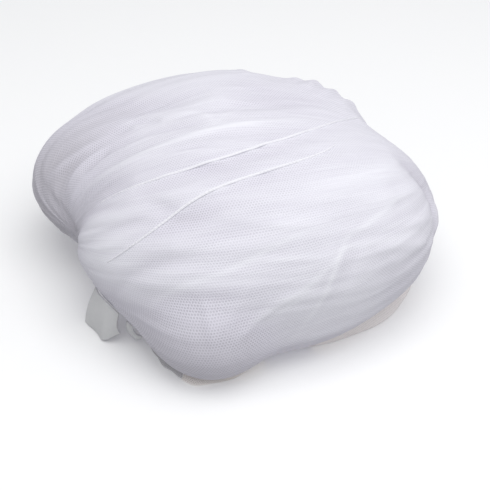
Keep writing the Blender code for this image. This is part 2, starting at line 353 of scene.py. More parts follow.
def net_layers(directions):
    """How many layers of net lie over each other along each direction, with painted light and painted shade
    laid in:
    -1 where fewest do or the painted shade is deepest, 1 in thick net and above that along a sewn or doubled
    edge."""
    points = HEART + directions * surface_reach(HEART, directions)[:, None]
    layers = np.full(len(directions), 0.5)
    # painted light and shade: a fold's ridge raises the count and its hollow lowers it
    for fold in (*MAIN_CREASES, *FINE_FOLDS):
        layers += fold.height / RISE_OF_A_LAYER_AND_SHADE * fold_profile(points, fold)
    for edge in LAYER_EDGES:
        layers += edge.height * fold_profile(points, edge, below=edge.half_width * EDGE_FADE)
    # the doubled edges, then the places of painted shade and painted light
    for line in (*LAYER_LINES, *PAINTED_SHADING_PLACES):
        layers += line.height * fold_profile(points, line)
    # the wrinkles likewise: their tops painted lighter, their hollows darker
    layers += WRINKLE_LAYERS_AND_SHADE * wrinkle_height(directions, 1.0)
    # painted shade: the net is painted darker towards the foot, less so on the right
    low = np.clip(1 - points[:, 2] / LOW_NET, 0, 1)
    right = np.clip(points[:, 0] / 0.10, 0, 1)
    layers -= low * (LOW_PAINTED_SHADE - RIGHT_LESS_PAINTED_SHADE * right)
    return np.clip(layers, -1, 1.6)


def net_points(directions, reach):
    """Points at these distances from the heart, flattened where the bundle lies on its foot."""
    down = np.minimum(directions[:, 2], -1e-6)
    level = np.where(directions[:, 2] < 0, -HEART[2] / down, np.inf)
    points = HEART + directions * np.minimum(reach, level)[:, None]
    points[:, 2] = np.maximum(points[:, 2], 0)
    return points


def run_grid(sectors, rings):
    """Directions over a ball whose poles are the two ends of the folds: ring by ring, with the poles last."""
    along = np.linspace(0, pi, rings + 1)[1:-1]
    around = np.arange(sectors) / sectors * 2 * pi
    grid = run_direction(along[:, None] + 0 * around, around + 0 * along[:, None])
    return np.concatenate((grid.reshape(-1, 3), -FOLD_AXIS[None], FOLD_AXIS[None]))


def squares(rows, columns):
    """The four corners of each square between points in rows, as rows and columns."""
    for row in range(rows - 1):
        for column in range(columns - 1):
            yield (row, column), (row + 1, column), (row + 1, column + 1), (row, column + 1)


def run_faces(sectors, rings):
    """Faces of that ball, and for each corner its column and row."""
    faces, corners = [], []
    left, right = sectors * (rings - 1), sectors * (rings - 1) + 1
    last = (rings - 2) * sectors
    for sector in range(sectors):
        after = (sector + 1) % sectors
        faces.append((left, sector, after))
        corners.append(((sector + 0.5, 0), (sector, 1), (sector + 1, 1)))
        faces.append((last + sector, right, last + after))
        corners.append(((sector, rings - 1), (sector + 0.5, rings), (sector + 1, rings - 1)))
    for square in squares(rings - 1, sectors + 1):
        faces.append(tuple(row * sectors + column % sectors for row, column in square))
        corners.append(tuple((column, row + 1) for row, column in square))
    return faces, corners


def cloth_lengths(sectors, rings):
    """How far the cloth reaches along each fold, and how far round the bundle each fold lies, in metres."""
    directions = run_grid(sectors, rings)
    points = HEART + directions * surface_reach(HEART, directions)[:, None]
    grid = points[:-2].reshape(rings - 1, sectors, 3)
    steps = np.linalg.norm(np.diff(grid, axis=0), axis=2)
    steps = np.concatenate((steps[:1], steps, steps[-1:]))
    along = np.concatenate((np.zeros((1, sectors)), np.cumsum(steps, axis=0)))
    along -= along[rings // 2]
    middle = grid[rings // 2 - 1]
    around = np.concatenate(((0,), np.cumsum(np.linalg.norm(np.roll(middle, -1, axis=0) - middle, axis=1))))
    return along, around


# ---------------------------------------------------------------------------
# Making objects
# ---------------------------------------------------------------------------


def object_from(name, points, faces, material, uvs=None, layers=None):
    """A smooth mesh object. The UV map, where there is one, is in metres of cloth."""
    mesh = bpy.data.meshes.new(name)
    mesh.from_pydata(np.asarray(points).tolist(), [], faces)
    if uvs is not None:
        layer = mesh.uv_layers.new(name="cloth")
        layer.data.foreach_set("uv", np.asarray(uvs, np.float32).ravel())
    if layers is not None:
        values = mesh.attributes.new("layers", "FLOAT", "POINT")
        values.data.foreach_set("value", np.asarray(layers, np.float32))
    mesh.materials.append(material)
    mesh.shade_smooth()
    obj = bpy.data.objects.new(name, mesh)
    bpy.context.scene.collection.objects.link(obj)
    return obj


def finish_piece(obj, slot, *nodes):
    """The piece rides on the object's one body and stands in for these solids. The slot is not used."""
    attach(obj, "root")
    if nodes:
        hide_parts(*nodes)


def baked(obj):
    """The object with its modifiers turned into plain mesh."""
    bpy.context.view_layer.update()
    evaluated = obj.evaluated_get(bpy.context.evaluated_depsgraph_get())
    mesh = bpy.data.meshes.new_from_object(evaluated)
    old = obj.data
    obj.modifiers.clear()
    obj.data = mesh
    mesh.name = obj.name
    bpy.data.meshes.remove(old)
    return obj


# ---------------------------------------------------------------------------
# Shader maths
# ---------------------------------------------------------------------------


class Number:
    """A number that changes over a surface. Python's operators on it add Math nodes."""

    def __init__(self, shader, socket):
        self.shader = shader
        self.socket = socket

    def maths(self, operation, *values, clamp=False):
        settings = {"operation": operation, "use_clamp": clamp}
        return self.shader.number("ShaderNodeMath", settings, dict(enumerate(values)))

    def __add__(self, other):
        return self.maths("ADD", self, other)

    def __sub__(self, other):
        return self.maths("SUBTRACT", self, other)

    def __rsub__(self, other):
        return self.maths("SUBTRACT", other, self)

    def __mul__(self, other):
        return self.maths("MULTIPLY", self, other)

    def __truediv__(self, other):
        return self.maths("DIVIDE", self, other)

    def fraction(self):
        return self.maths("FRACT", self)

    def root(self):
        return self.maths("SQRT", self)

    def sine(self):
        return self.maths("SINE", self)

    def lesser(self, other):
        return self.maths("MINIMUM", self, other)

    def clamped(self):
        return self.maths("ADD", self, 0.0, clamp=True)


class Shader:
    """A material in the making: every node of it comes from the node method."""

    def __init__(self, name, **constants):
        self.material = bpy.data.materials.new(name)
        self.material.use_nodes = True
        self.tree = self.material.node_tree
        self.surface = self.tree.nodes["Principled BSDF"]
        for socket, value in constants.items():
            self.surface.inputs[socket.replace("_", " ")].default_value = value

    def node(self, kind, settings=None, values=None):
        made = self.tree.nodes.new(kind)
        for key, value in (settings or {}).items():
            setattr(made, key, value)
        for key, value in (values or {}).items():
            self.connect(value, made.inputs[key])
        return made

    def connect(self, value, socket):
        if isinstance(value, Number):
            value = value.socket
        if isinstance(value, bpy.types.NodeSocket):
            self.tree.links.new(value, socket)
        else:
            socket.default_value = value

    def number(self, kind, settings=None, values=None, output=0):
        return Number(self, self.node(kind, settings, values).outputs[output])

    def cloth_place(self):
        """The place on the cloth, in metres along the folds and across them."""
        parts = self.node("ShaderNodeSeparateXYZ", values={0: self.node("ShaderNodeUVMap").outputs[0]})
        return Number(self, parts.outputs[0]), Number(self, parts.outputs[1])

    def attribute(self, name):
        return self.number("ShaderNodeAttribute", {"attribute_name": name}, output=2)

    def joined(self, x, y, z=0.0):
        return self.node("ShaderNodeCombineXYZ", values={0: x, 1: y, 2: z}).outputs[0]

    def noise(self, vector, scale, detail=2.0):
        values = {"Vector": vector, "Scale": scale, "Detail": detail}
        return self.number("ShaderNodeTexNoise", {"normalize": True}, values)

    def stepped(self, value, low, high):
        """0 below low, 1 above high, and a soft step between."""
        values = {"Value": value, "From Min": low, "From Max": high}
        return self.number("ShaderNodeMapRange", {"interpolation_type": "SMOOTHSTEP"}, values)

    def mixed(self, factor, first, second):
        """A colour from the first to the second."""
        values = {0: factor, 6: self.colour(first), 7: self.colour(second)}
        return self.node("ShaderNodeMix", {"data_type": "RGBA"}, values).outputs[2]

    def colour(self, value):
        return value if isinstance(value, bpy.types.NodeSocket) else (*value, 1)

    def bumped(self, height, distance):
        values = {"Height": height, "Distance": distance, "Strength": 1.0}
        return self.node("ShaderNodeBump", values=values).outputs[0]

    def set(self, **links):
        for socket, value in links.items():
            self.connect(value, self.surface.inputs[socket.replace("_", " ")])


STREAK_DEPTH = 1.2  # how far the streaks shift the netting's shade
SEEN_THROUGH = 0.21  # how clear the holes are where few layers lie under the wrap
LAYERS_SHOWN = 0.20  # how clear they are in the layers themselves


def hexagonal_holes(shader, along, across, pitch, hole):
    """1 in the holes of a hexagonal mesh and 0 on its threads. The hole's radius is a share of the pitch."""
    x, y = along / pitch, across / (pitch * sqrt(3))
    gaps = []
    for shift in (0.5, 1.0):
        side = (x + shift).fraction() - 0.5
        up = ((y + shift).fraction() - 0.5) * sqrt(3)
        gaps.append(side * side + up * up)
    nearest = gaps[0].lesser(gaps[1]).root()
    return 1 - shader.stepped(nearest, hole - 0.10, hole + 0.10)


def swayed_place(shader, sway):
    """The place on the cloth, drawn a little out of line as slack netting is."""
    along, across = shader.cloth_place()
    flat = shader.joined(along, across)
    drifts = [shader.noise(flat, scale, 1.0) - 0.5 for scale in (26, 21)]
    return along + drifts[0] * sway, across + drifts[1] * sway


def netting_colour(shader, layers, streaks, colours):
    """The netting's colour: whiter the more layers there are, lighter or darker with the painted light and
    shade in the count, and streaked where threads bunch.
    """
    shade = (layers + (streaks - 0.5) * STREAK_DEPTH).clamped()
    return shader.mixed(shade, colours.netting_shade, colours.netting)


def wrap_material(sizes, colours):
    """Sheer netting: white threads round hexagonal holes, which show most where few layers lie under it."""
    shader = Shader("net_wrap", Roughness=0.85)
    along, across = swayed_place(shader, 0.003)
    count = shader.attribute("layers")
    layers = count.clamped()
    holes = hexagonal_holes(shader, along, across, sizes.mesh_pitch, sizes.hole_share)
    patches = shader.noise(shader.joined(along * 4, across * 16), 6)
    seen = (SEEN_THROUGH - layers * SEEN_THROUGH + (patches - 0.5) * 0.25).clamped()
    streaks = shader.noise(shader.joined(along * 9, across * 260), 2.5, 3.0)
    threads = netting_colour(shader, layers, streaks, colours)
    # painted shade: where the count falls below zero, the threads are painted towards the foot colour
    threads = shader.mixed((0 - count).clamped(), threads, colours.foot)
    threads = shader.mixed(((count - 1) * 1.6).clamped(), threads, colours.seam)
    shader.set(Base_Color=threads, Alpha=1 - holes * seen, Normal=shader.bumped(1 - holes, 0.0001))
    return shader.material


def layers_material(sizes, colours):
    """The layers under the wrap: netting many times over, which shows as faint dots and soft streaks."""
    shader = Shader("net_layers", Roughness=0.9)
    along, across = swayed_place(shader, 0.005)
    layers = shader.attribute("layers").clamped()
    turned_along = along * 0.995 - across * 0.10
    turned_across = across * 0.995 + along * 0.10
    holes = hexagonal_holes(shader, turned_along, turned_across, sizes.mesh_pitch * 1.04, 0.36)
    streaks = shader.noise(shader.joined(along * 10, across * 90), 2.5, 3.0)
    cloth = netting_colour(shader, layers, streaks, colours)
    # painted shade: the layers have no real holes, so the mesh's holes are painted in the darker hole colour
    tint = shader.mixed(holes * (LAYERS_SHOWN - layers * 0.18).clamped(), cloth, colours.hole)
    shader.set(Base_Color=tint, Normal=shader.bumped(streaks, 0.0005))
    return shader.material


def seam_material(colours):
    """Several layers of netting sewn together: nearly solid white, with the grain of fine threads."""
    shader = Shader("net_seam", Roughness=0.8)
    along, across = shader.cloth_place()
    grain = shader.noise(shader.joined(along * 900, across * 2400), 1.0)
    tint = shader.mixed(grain, colours.seam, colours.netting)
    shader.set(Base_Color=tint, Normal=shader.bumped(grain, 0.0002))
    return shader.material


def thread_material(colours):
    """White sewing thread, a little darker in its twist."""
    shader = Shader("sewing_thread", Roughness=0.6)
    place = shader.node("ShaderNodeTexCoord").outputs["Object"]
    twist = shader.noise(place, 2500)
    shader.set(Base_Color=shader.mixed(twist, colours.seam, colours.netting_shade))
    return shader.material


def band_material(colours):
    """Dense plain cloth with a fine plain weave and soft shading along its folds."""
    shader = Shader("band_cloth", Roughness=0.8)
    along, across = shader.cloth_place()
    weave = (along * 5200).sine() * (across * 5200).sine()
    patches = shader.noise(shader.joined(along, across), 90, 3.0)
    tint = shader.mixed(patches, colours.band, colours.band_shade)
    shader.set(Base_Color=tint, Normal=shader.bumped(weave * 0.5 + patches, 0.0003))
    return shader.material


def under_material(name, sizes, tint, shade):
    """The lowest layers of netting, whose mesh is drawn closer and shows holes painted darker, as painted
    shade.
    """
    shader = Shader(name, Roughness=0.9)
    along, across = swayed_place(shader, 0.002)
    holes = hexagonal_holes(shader, along, across, sizes.mesh_pitch * 0.8, 0.3)
    patches = shader.noise(shader.joined(along, across), 60, 3.0)
    # painted shade: the holes are painted darker than the shade colour
    hole = tuple(0.7 * part for part in shade)
    cloth = shader.mixed(holes * 0.7, shader.mixed(patches, tint, shade), hole)
    shader.set(Base_Color=cloth, Normal=shader.bumped(1 - holes, 0.0003))
    return shader.material


def floor_material(colour):
    """A plain pale floor, hardly mottled."""
    shader = Shader("pale_floor", Roughness=0.8)
    place = shader.node("ShaderNodeTexCoord").outputs["Object"]
    faint = tuple(channel * 0.99 for channel in colour)
    shader.set(Base_Color=shader.mixed(shader.noise(place, 3), colour, faint))
    return shader.material


# ---------------------------------------------------------------------------
# Sizes and colours that a user may change
# ---------------------------------------------------------------------------


def number(name, description, default, **settings):
    """A plain number in the panel."""
    return FloatProperty(name=name, description=description, default=default, **settings)


def length(name, description, default, **limits):
    """A length in the panel, in metres."""
    return number(name, description, default, unit="LENGTH", precision=5, **limits)


def colour(name, description, default):
    """A colour in the panel."""
    limits = {"subtype": "COLOR", "min": 0, "max": 1}
    return FloatVectorProperty(name=name, description=description, default=default, **limits)


class NetSizes(bpy.types.PropertyGroup):
    mesh_pitch: length("Mesh pitch", "Distance from one hole of the net to the next", 0.0021, min=0.0005)
    hole_share: number("Hole size", "Radius of a hole, as a share of the pitch", 0.30)
    wrap_lift: length("Wrap lift", "How far the wrap stands off the layers under it", 0.0013, min=0.0003)
    wrap_edge: length("Wrap edge", "Least height of the wrap's lower edge", 0.0035, min=0)
    wrinkles: number("Wrinkles", "How strongly the net is wrinkled", 1.0, min=0)
    seam_width: length("Seam width", "Width of a sewn seam", 0.0021, min=0.0005)
    seam_height: length("Seam height", "How far a sewn seam stands up", 0.0008, min=0.0002)
    stitch_pitch: length("Stitch pitch", "Distance from one stitch to the next", 0.0028, min=0.001)
    sectors: IntProperty(name="Sectors", description="Faces round the bundle", default=400, min=16)
    rings: IntProperty(name="Rings", description="Faces along the bundle", default=216, min=8)


class NetColours(bpy.types.PropertyGroup):
    netting: colour("Netting", "White netting, many layers deep", (0.83, 0.825, 0.88))
    # the netting shade also serves as painted shade, in hollows and the places painted greyer
    netting_shade: colour("Netting shade", "White netting, few layers deep", (0.72, 0.70, 0.775))
    # the hole colour is painted shade: the dark inside of the bundle seen through the mesh, whose pattern is
    # real
    hole: colour("Hole", "What shows through the mesh of the lower layers", (0.44, 0.43, 0.58))
    seam: colour("Seam", "Sewn seams, where the netting is densest", (0.90, 0.895, 0.92))
    # the foot colour is painted shade, for the low net and the places painted greyer
    foot: colour("Foot", "Lowest net, which lies in the bundle's own shade", (0.56, 0.54, 0.59))
    band: colour("Band", "Dense cloth of the loose end", (0.76, 0.76, 0.765))
    band_shade: colour("Band shade", "Dense cloth of the loose end, in its folds", (0.66, 0.66, 0.67))


class StageSettings(bpy.types.PropertyGroup):
    floor: colour("Floor", "Colour of the floor", (0.99, 0.99, 0.99))
    key_power: number("Key light", "Power of the large light", 10.2, min=0)
    sky: number("Sky", "Strength of the even light from all round", 0.635, min=0)


# ---------------------------------------------------------------------------
# The pieces
# ---------------------------------------------------------------------------

net = {}  # what one operator works out for the next: the fine grid and the pieces of the seams


def fine_grid(sizes):
    """The fine grid of the net, worked out once for the layers and the wrap."""
    if "reach" not in net:
        directions = run_grid(sizes.sectors, sizes.rings)
        faces, corners = run_faces(sizes.sectors, sizes.rings)
        along, around = cloth_lengths(sizes.sectors, sizes.rings)
        flat = np.array([place for face in corners for place in face])
        columns, rows = flat[:, 0], flat[:, 1].astype(int)
        whole = columns.astype(int)
        lengths = along[rows, whole % sizes.sectors]
        distances = np.interp(columns, range(len(around)), around)
        net["directions"] = directions
        net["faces"] = faces
        net["uvs"] = np.stack((lengths, distances), axis=1)
        net["reach"] = net_reach(directions, sizes.wrinkles) - sizes.wrap_lift
        net["wrap"] = net_reach(directions, sizes.wrinkles, WRAP_FOLDS)
        net["layers"] = net_layers(directions)
    return net


EDGE_MIDDLE = 0.0065  # how high the plane of the wrap's lower edge stands in the middle
EDGE_RISE = (0.060, 0.020)  # how steeply it rises towards +X and +Y: it hangs higher at the right end
EDGE_SPREAD = 0.13  # about how far from the middle the wrap's lower edge lies
TUCK = 0.005  # how far a lower fold reaches up under the wrap's edge


def cut_below(obj, height, rise=(0.0, 0.0)):
    """Takes away what lies below this height, with a clean edge. The height may rise towards +X and +Y."""
    shape = bmesh.new()
    shape.from_mesh(obj.data)
    geometry = [*shape.verts, *shape.edges, *shape.faces]
    bmesh.ops.bisect_plane(
        shape,
        geom=geometry,
        dist=1e-7,
        plane_co=(0, 0, height),
        plane_no=Vector((-rise[0], -rise[1], 1)).normalized(),
        clear_inner=True,
    )
    shape.to_mesh(obj.data)
    shape.free()


class NET_OT_layers(bpy.types.Operator):
    """Make the folded layers that fill the bundle"""

    bl_idname = "net.layers"
    bl_label = "Folded Layers"

    def execute(self, context):
        sizes, colours = context.scene.net_sizes, context.scene.net_colours
        net.clear()
        grid = fine_grid(sizes)
        points = net_points(grid["directions"], grid["reach"])
        material = layers_material(sizes, colours)
        obj = object_from("folded_layers", points, grid["faces"], material, grid["uvs"], grid["layers"])
        finish_piece(obj, "netting", "net_bundle")
        return {"FINISHED"}


SEAMS = {"long_seam": LONG_SEAM, "cross_seam": CROSS_SEAM}
SEAM_POINTS = 220  # points along a seam's strip
SEAM_SIDES = 8  # sides round it
STITCH_POINTS = 160  # points along the path that the stitches follow
STITCH_LENGTH = 0.0018
STITCH_WIDTH = 0.0004


def seam_frames(line, sizes):
    """For a line on the wrap: its points, the ways out of the cloth and the ways across the seam."""
    reach = net_reach(line, sizes.wrinkles, WRAP_FOLDS)
    points = net_points(line, reach)
    runs = np.gradient(points, axis=0)
    runs /= np.linalg.norm(runs, axis=1)[:, None]
    across = np.cross(runs, line)
    across /= np.linalg.norm(across, axis=1)[:, None]
    return points, np.cross(across, runs), across


def seam_strip(name, places, sizes, material):
    """A narrow rounded strip that lies on the wrap along the seam, thin at both ends."""
    points, out, across = seam_frames(fold_line(places, SEAM_POINTS), sizes)
    taper = np.sin(pi * np.linspace(0.004, 0.996, SEAM_POINTS)) ** 0.25
    rings = []
    for turn in np.linspace(0, 2 * pi, SEAM_SIDES + 1)[:-1]:
        side = sizes.seam_width / 2 * cos(turn) * taper[:, None]
        up = sizes.seam_height / 2 * (sin(turn) + 1.1) * taper[:, None]
        rings.append(points + across * side + out * up)
    rings = np.stack(rings, axis=1)
    faces, uvs = [], []
    for square in squares(SEAM_POINTS, SEAM_SIDES + 1):
        faces.append(tuple(row * SEAM_SIDES + column % SEAM_SIDES for row, column in square))
        uvs += [(row * 0.001, column * 0.0005) for row, column in square]
    for ring in (0, SEAM_POINTS - 1):
        faces.append(tuple(ring * SEAM_SIDES + side for side in range(SEAM_SIDES)))
        uvs += [(0, 0)] * SEAM_SIDES
    obj = object_from(name, rings.reshape(-1, 3), faces, material, uvs)
    face_outwards(obj)
    return obj


def face_outwards(obj):
    """Turns every face of a closed shape outwards."""
    shape = bmesh.new()
    shape.from_mesh(obj.data)
    bmesh.ops.recalc_face_normals(shape, faces=shape.faces)
    shape.to_mesh(obj.data)
    shape.free()


def stitch_tree(material):
    """Stitches along a path: a short rounded stitch on each of its points, turned the way the path runs."""
    tree = bpy.data.node_groups.new("stitches", "GeometryNodeTree")
    socket = tree.interface.new_socket
    socket("Path", in_out="INPUT", socket_type="NodeSocketGeometry")
    socket("Stitches", in_out="OUTPUT", socket_type="NodeSocketGeometry")
    for name, default in (("Pitch", 0.003), ("Length", 0.0018), ("Width", 0.0003)):
        socket(name, in_out="INPUT", socket_type="NodeSocketFloat").default_value = default
    add = tree.nodes.new
    given, result = add("NodeGroupInput"), add("NodeGroupOutput")
    curve, spaced = add("GeometryNodeMeshToCurve"), add("GeometryNodeResampleCurve")
    spaced.mode = "LENGTH"
    placed, tangent = add("GeometryNodeInstanceOnPoints"), add("GeometryNodeInputTangent")
    turned = add("FunctionNodeAlignRotationToVector")
    turned.axis = "X"
    ball, sized = add("GeometryNodeMeshUVSphere"), add("GeometryNodeTransform")
    size = add("ShaderNodeCombineXYZ")
    for name, value in (("Segments", 8), ("Rings", 5), ("Radius", 0.5)):
        ball.inputs[name].default_value = value
    real, finish = add("GeometryNodeRealizeInstances"), add("GeometryNodeSetMaterial")
    finish.inputs["Material"].default_value = material
    for source, output, target, entry in (
        (given, "Path", curve, 0),
        (curve, 0, spaced, "Curve"),
        (given, "Pitch", spaced, "Length"),
        (given, "Length", size, 0),
        (given, "Width", size, 1),
        (given, "Width", size, 2),
        (ball, 0, sized, "Geometry"),
        (size, 0, sized, "Scale"),
        (tangent, 0, turned, "Vector"),
        (spaced, 0, placed, "Points"),
        (sized, 0, placed, "Instance"),
        (turned, 0, placed, "Rotation"),
        (placed, 0, real, 0),
        (real, 0, finish, "Geometry"),
        (finish, 0, result, 0),
    ):
        tree.links.new(source.outputs[output], target.inputs[entry])
    return tree


def stitches(name, path, tree, material, values):
    """A piece with a stitch at every pitch along the path."""
    obj = object_from(name, path, [], material)
    obj.data.edges.add(len(path) - 1)
    obj.data.edges.foreach_set("vertices", np.array([(i, i + 1) for i in range(len(path) - 1)]).ravel())
    modifier = obj.modifiers.new("Stitches", "NODES")
    modifier.node_group = tree
    for item in tree.interface.items_tree:
        if item.in_out == "INPUT" and item.name in values:
            modifier[item.identifier] = values[item.name]
    baked(obj)
    obj.data.shade_smooth()
    return obj


class NET_OT_seams(bpy.types.Operator):
    """Make the sewn seams and their stitches"""

    bl_idname = "net.seams"
    bl_label = "Seams and Stitches"

    def execute(self, context):
        sizes, colours = context.scene.net_sizes, context.scene.net_colours
        cloth, thread = seam_material(colours), thread_material(colours)
        tree = stitch_tree(thread)
        values = {"Pitch": sizes.stitch_pitch, "Length": STITCH_LENGTH, "Width": STITCH_WIDTH}
        net["seams"] = []
        for name, places in SEAMS.items():
            strip = seam_strip(name, places, sizes, cloth)
            finish_piece(strip, "netting")
            points, out, _ = seam_frames(fold_line(places, STITCH_POINTS)[4:-4], sizes)
            path = points + out * sizes.seam_height * 1.05
            sewn = stitches(f"{name}_stitches", path, tree, thread, values)
            finish_piece(sewn, "netting")
            net["seams"] += [strip, sewn]
        return {"FINISHED"}


class NET_OT_wrap(bpy.types.Operator):
    """Make the sheer outer wrap over the layers"""

    bl_idname = "net.wrap"
    bl_label = "Outer Wrap"

    def execute(self, context):
        sizes, colours = context.scene.net_sizes, context.scene.net_colours
        grid = fine_grid(sizes)
        points = net_points(grid["directions"], grid["wrap"])
        material = wrap_material(sizes, colours)
        obj = object_from("outer_wrap", points, grid["faces"], material, grid["uvs"], grid["layers"])
        cut_below(obj, sizes.wrap_edge)
        cut_below(obj, EDGE_MIDDLE, EDGE_RISE)
        finish_piece(obj, "netting")
        seams = net["seams"]
        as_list(seams)
        return {"FINISHED"}


# Each strip of cloth at the foot, column by column: the heading, how far its lower edge lies from above the
# heart's foot, how high that edge stands, and how high its top edge stands where it hangs clear of the wrap.
# The columns lie close to those of the solids.
Column = namedtuple("Column", "heading spread low top", defaults=(0.0, 0.0))
STRIPS = {
    "loose_end": (
        Column(-151, 0.130, top=0.030),
        Column(-145, 0.131, top=0.034),
        Column(-139, 0.1305, top=0.034),
        Column(-134.5, 0.123, 0.010, top=0.028),
    ),
    "loose_corner": (
        Column(-132.6, 0.114, 0.008, top=0.022),
        Column(-131, 0.1165, 0.003, top=0.024),
        Column(-129, 0.110, 0.004, top=0.022),
    ),
    "under_fold_left": (
        Column(-124, 0.113),
        Column(-116, 0.1245),
        Column(-107.8, 0.1320),
    ),
    "under_fold_front": (
        Column(-107.3, 0.1330),
        Column(-103, 0.1370),
        Column(-98, 0.1335),
        Column(-90, 0.1250),
        Column(-80, 0.1060),
    ),
    "under_fold_right": (
        Column(-60, 0.106),
        Column(-47, 0.1155),
        Column(-39, 0.1215),
        Column(-24, 0.1328),
        Column(-8, 0.1388),
    ),
}
STRIP_ROWS = 28
STRIP_STEP = 0.25  # degrees of heading between two columns of the fine strip
CLOTH_THICKNESS = 0.0010
LOOSE_WAVES = 0.0012  # how far a loose end waves in and out
UNDER_WAVES = 0.0006  # and a lower fold
UNDER_STAND = 0.0015  # how far a lower fold stands off the layers below the wrap's edge


def level_reach(outwards, heights):
    """How far out the bundle's surface is, each way at its own height, from above the middle of its foot."""
    starts = np.column_stack((np.full((len(outwards), 2), HEART[:2]), heights))
    return surface_reach(starts, outwards)


def curved(values, known, wanted):
    """A smooth curve close to the known values."""
    straight = np.interp(wanted, known, values)
    reach = max(len(wanted) // 7, 1)
    weights = np.hanning(2 * reach + 3)[1:-1]
    padded = np.concatenate((np.full(reach, straight[0]), straight, np.full(reach, straight[-1])))
    return np.convolve(padded, weights / weights.sum(), "valid")


def edge_heights(outwards, wrap_edge):
    """How high the wrap's lower edge hangs, each way out from the middle."""
    places = HEART[:2] + outwards[:, :2] * EDGE_SPREAD
    return np.maximum(wrap_edge, EDGE_MIDDLE + places @ EDGE_RISE)


def wrinkled_reach(outwards, heights, strength):
    """How far out the wrinkled net lies, each way at its own height."""
    reach = level_reach(outwards, heights)
    offsets = strip_points(outwards, reach, heights) - HEART
    directions = offsets / np.linalg.norm(offsets, axis=1)[:, None]
    return reach + net_reach(directions, strength, WRAP_FOLDS) - surface_reach(HEART, directions)


def strip_grid(columns):
    """Finely spaced columns: ways out from the middle, spreads, and heights of the lower and the top edge."""
    first, last = columns[0].heading, columns[-1].heading
    headings = np.linspace(first, last, round((last - first) / STRIP_STEP) + 1)
    known = [column.heading for column in columns]
    spreads = curved([column.spread for column in columns], known, headings)
    lows = curved([column.low for column in columns], known, headings) + CLOTH_THICKNESS
    tops = curved([column.top for column in columns], known, headings)
    angles = np.radians(headings)
    outwards = np.column_stack((np.cos(angles), np.sin(angles), np.zeros(len(angles))))
    return outwards, spreads, lows, tops


def strip_points(outwards, reach, heights):
    """One row of a strip: points this far out from above the heart's foot, at these heights."""
    return HEART * (1, 1, 0) + outwards * reach[:, None] + np.outer(heights, (0, 0, 1))


def hanging_rows(columns):
    """Rows of a strip that hangs clear of the bundle from under its overhang, waved along its length."""
    outwards, spreads, lows, tops = strip_grid(columns)
    top_reach = level_reach(outwards, tops) + SHEET_CLEARANCE
    share = np.linspace(0, 1, len(outwards))
    for fall in np.linspace(0, 1, STRIP_ROWS):
        heights = tops * (1 - fall) + lows * fall
        hanging = top_reach * (1 - fall) + spreads * fall
        ripple = LOOSE_WAVES * fall * np.sin(2 * pi * (share * 1.3 + 0.25 * fall))
        belly = 0.002 * np.sin(pi * fall)
        closest = level_reach(outwards, heights) + SHEET_CLEARANCE * 0.7
        yield strip_points(outwards, np.maximum(closest, hanging + ripple + belly), heights)


def tucked_rows(columns, sizes):
    """Rows of a strip that is tucked up between the wrap and the layers, and spreads out below the wrap."""
    outwards, spreads, lows, _ = strip_grid(columns)
    edges = edge_heights(outwards, sizes.wrap_edge)
    falls = np.linspace(0, 1, STRIP_ROWS)[:, None]
    heights = (edges + TUCK) * (1 - falls) + lows * falls
    heights = np.concatenate((edges[None], heights))
    ways = np.tile(outwards, (len(heights), 1))
    reach = wrinkled_reach(ways, heights.ravel(), sizes.wrinkles).reshape(heights.shape)
    reach -= sizes.wrap_lift / 2
    below = np.clip((edges - heights) / (edges - lows), 0, 1)
    ripple = UNDER_WAVES * below * np.sin(4.6 * pi * np.linspace(0, 1, len(outwards)))
    hanging = reach[0] * (1 - below) + (spreads + ripple) * below
    close = reach + UNDER_STAND * np.clip(below * 4, 0, 1)
    reach = np.where(below > 0, np.maximum(close, hanging), close)
    for row, height in zip(reach[1:], heights[1:]):
        yield strip_points(outwards, row, height)


def strip_sheet(name, rows, material):
    """One thin strip of cloth from rows of points, the topmost first."""
    rows = np.array(list(rows))
    count = rows.shape[1]
    faces, uvs = [], []
    for square in squares(STRIP_ROWS, count):
        faces.append(tuple(row * count + column for row, column in square))
        uvs += [(column * 0.0006, row * 0.0010) for row, column in square]
    obj = object_from(name, rows.reshape(-1, 3), faces, material, uvs)
    wall = obj.modifiers.new("Thickness", "SOLIDIFY")
    wall.thickness = CLOTH_THICKNESS
    wall.offset = 0
    return baked(obj)


LOOSE_ENDS = {"loose_end": (0.042, 0.030), "loose_corner": (0.013, 0.018)}  # with their flat sizes


class NET_OT_loose_ends(bpy.types.Operator):
    """Make the loose end and the loose corner at the front left"""

    bl_idname = "net.loose_ends"
    bl_label = "Loose Ends"

    def execute(self, context):
        band = band_material(context.scene.net_colours)
        for name, flat in LOOSE_ENDS.items():
            obj = strip_sheet(f"{name}_cloth", hanging_rows(STRIPS[name]), band)
            finish_piece(obj, "band_cloth", name)
        return {"FINISHED"}


# The lowest folds: colour, colour in the shade, and flat size.
UnderFold = namedtuple("UnderFold", "name tint shade flat")
# the front and right colours keep the cloth's pinkish tint, but their lightness, above the netting's, is
# painted light where the floor gives no bounce light
UNDER_FOLDS = (
    UnderFold("under_fold_left", (0.70, 0.69, 0.71), (0.60, 0.59, 0.61), (0.038, 0.0155)),
    UnderFold("under_fold_front", (0.97, 0.92, 0.89), (0.86, 0.81, 0.78), (0.064, 0.0145)),
    UnderFold("under_fold_right", (0.99, 0.94, 0.935), (0.96, 0.90, 0.90), (0.115, 0.0205)),
)


